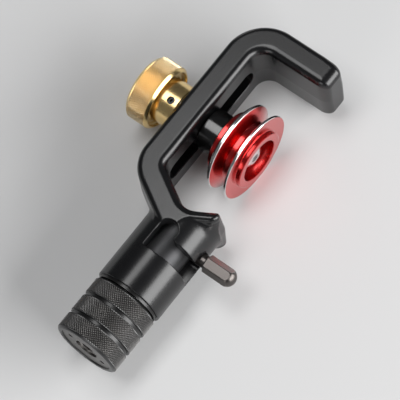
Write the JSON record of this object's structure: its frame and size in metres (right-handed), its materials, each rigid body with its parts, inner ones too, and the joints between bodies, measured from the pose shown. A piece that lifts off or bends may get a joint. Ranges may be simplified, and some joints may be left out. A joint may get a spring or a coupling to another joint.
{
  "type": "cable jacket slitter",
  "caption": "Hand cable jacket slitter: black J-shaped body with slotted bar and hook, red grooved roller on a locking carriage, and a blade head with hexagonal lever and knurled feed knob.",
  "frame": {"origin": "bottom centre of the whole tool's box as it lies on its side, at rest", "axes": "+X along the blade axis from the feed knob towards the back of the hook; +Y from the lever towards the brass locking knob; +Z through the body's thickness, up out of its front face"},
  "size_m": [0.1302, 0.0704, 0.0332],
  "materials": {
    "casting": "satin black coating on cast aluminium",
    "oxide": "black anodised, matte",
    "knob": "black anodised over diamond knurl, matte",
    "plate": "turned grey face, satin",
    "bush": "glossy black anodised, turned",
    "red": "red anodised, turned, with bright rims",
    "brass": "turned and knurled, bright",
    "bronze": "plain bearing bronze",
    "gunmetal": "black oxide steel, satin",
    "steel": "bright zinc plated"
  },
  "bodies": {
    "frame": {"body_casting": "casting", "guide_ring": "oxide", "ring_grub_screw": "gunmetal"},
    "feed": {"feed_knob": "knob", "knob_end_plate": "plate", "knob_screw": "gunmetal", "feed_spindle": "steel", "thrust_washer": "bronze"},
    "blade_unit": {"blade_carrier": "gunmetal", "blade": "steel", "blade_clamp_screw": "gunmetal", "lever_pin": "gunmetal"},
    "carriage": {"axle_bush": "bush", "slide_block": "gunmetal", "axle_washer": "steel", "axle_screw": "steel", "roller_thrust_washer": "steel"},
    "roller_unit": {"roller": "red", "roller_bearing": "bronze"},
    "lock": {"lock_knob": "brass", "lock_set_screw": "gunmetal", "lock_stud": "steel", "lock_washer": "steel"}
  },
  "joints": [
    {"name": "knob_turn", "type": "hinge", "parent": "frame", "child": "feed", "pos_m": [-0.0651, -0.0088, 0.0166], "axis": [1, 0, 0], "range_deg": [-1900.8, 0]},
    {"name": "blade_feed", "type": "slide", "parent": "frame", "child": "blade_unit", "axis": [1, 0, 0], "range_m": [-0.0066, 0]},
    {"name": "carriage_slide", "type": "slide", "parent": "frame", "child": "carriage", "axis": [1, 0, 0], "range_m": [-0.012, 0.0133]},
    {"name": "roller_spin", "type": "hinge", "parent": "carriage", "child": "roller_unit", "pos_m": [0.0241, -0.0088, 0.0166], "axis": [0, 1, 0], "continuous": true},
    {"name": "lock_turn", "type": "hinge", "parent": "carriage", "child": "lock", "pos_m": [0.0241, 0.0212, 0.0166], "axis": [0, 1, 0], "range_deg": [0, 360]}
  ],
  "couplings": [
    {"joint": "blade_feed", "follows": "knob_turn", "m_per_rad": 0.00019894}
  ]
}
